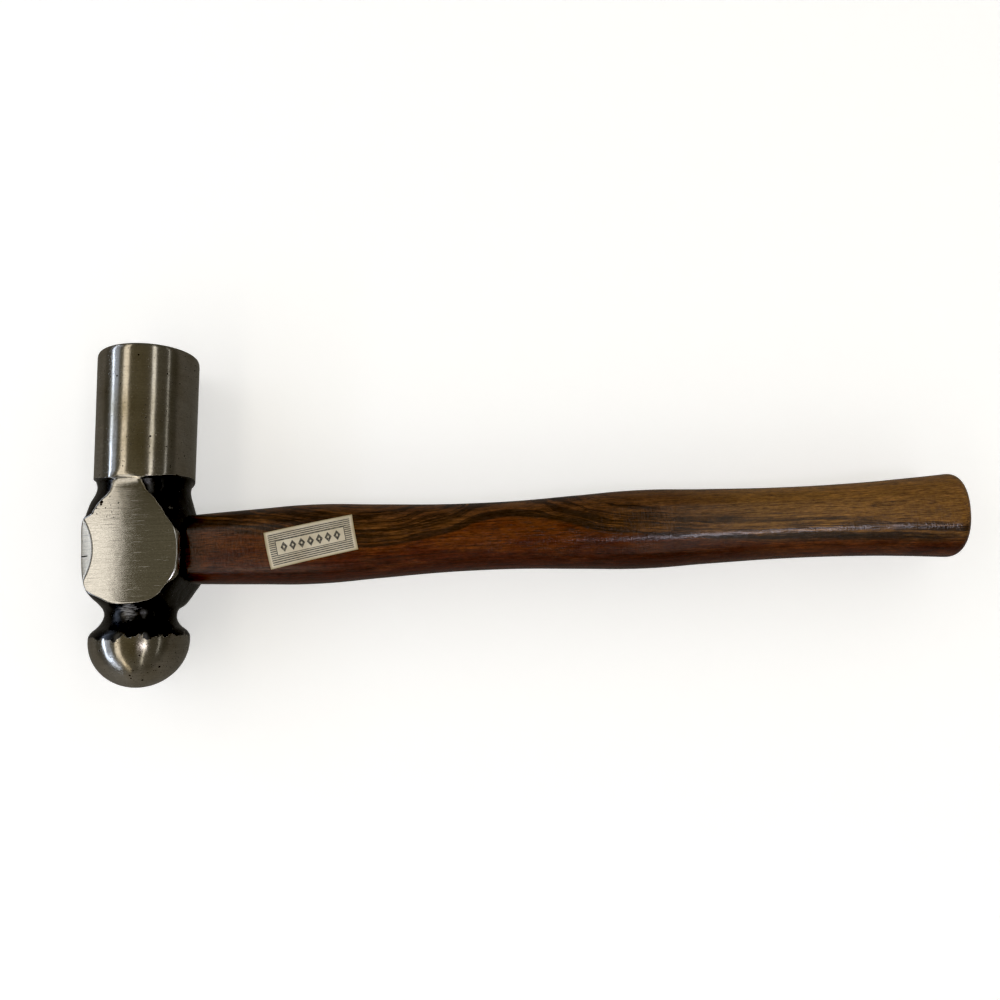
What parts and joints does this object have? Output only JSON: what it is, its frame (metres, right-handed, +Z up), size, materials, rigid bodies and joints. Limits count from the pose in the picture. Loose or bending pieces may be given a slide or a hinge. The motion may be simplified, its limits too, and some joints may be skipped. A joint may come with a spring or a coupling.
{
  "type": "ball peen hammer",
  "caption": "Ball peen hammer: forged steel head with a round poll, flat cheeks and a ball peen, wedged on a waisted oval wooden handle.",
  "frame": {"origin": "centre of the footprint of the hammer lying on its side, on the surface that it lies on", "axes": "+X along the handle from the head to the grip's end, +Y along the head from the ball peen to the striking face, +Z up out of the upper cheek"},
  "size_m": [0.3454, 0.132, 0.0388],
  "materials": {
    "polished_steel": "forged steel, ground and polished on the poll, cheeks and ball, with semi-gloss black lacquer in the waist, the neck and round the eye",
    "varnished_rosewood": "dark streaked rosewood, turned, sanded and varnished",
    "wedge_wood": "bare pale hardwood, sawn",
    "wedge_steel": "dull mild steel, hammered in",
    "label_paper": "aged cream paper with fine black ruled lines, glued on"
  },
  "bodies": {
    "root": {"head": "polished_steel", "handle": "varnished_rosewood", "wooden_wedge": "wedge_wood", "steel_wedge_1": "wedge_steel", "steel_wedge_2": "wedge_steel", "label": "label_paper"}
  },
  "joints": []
}
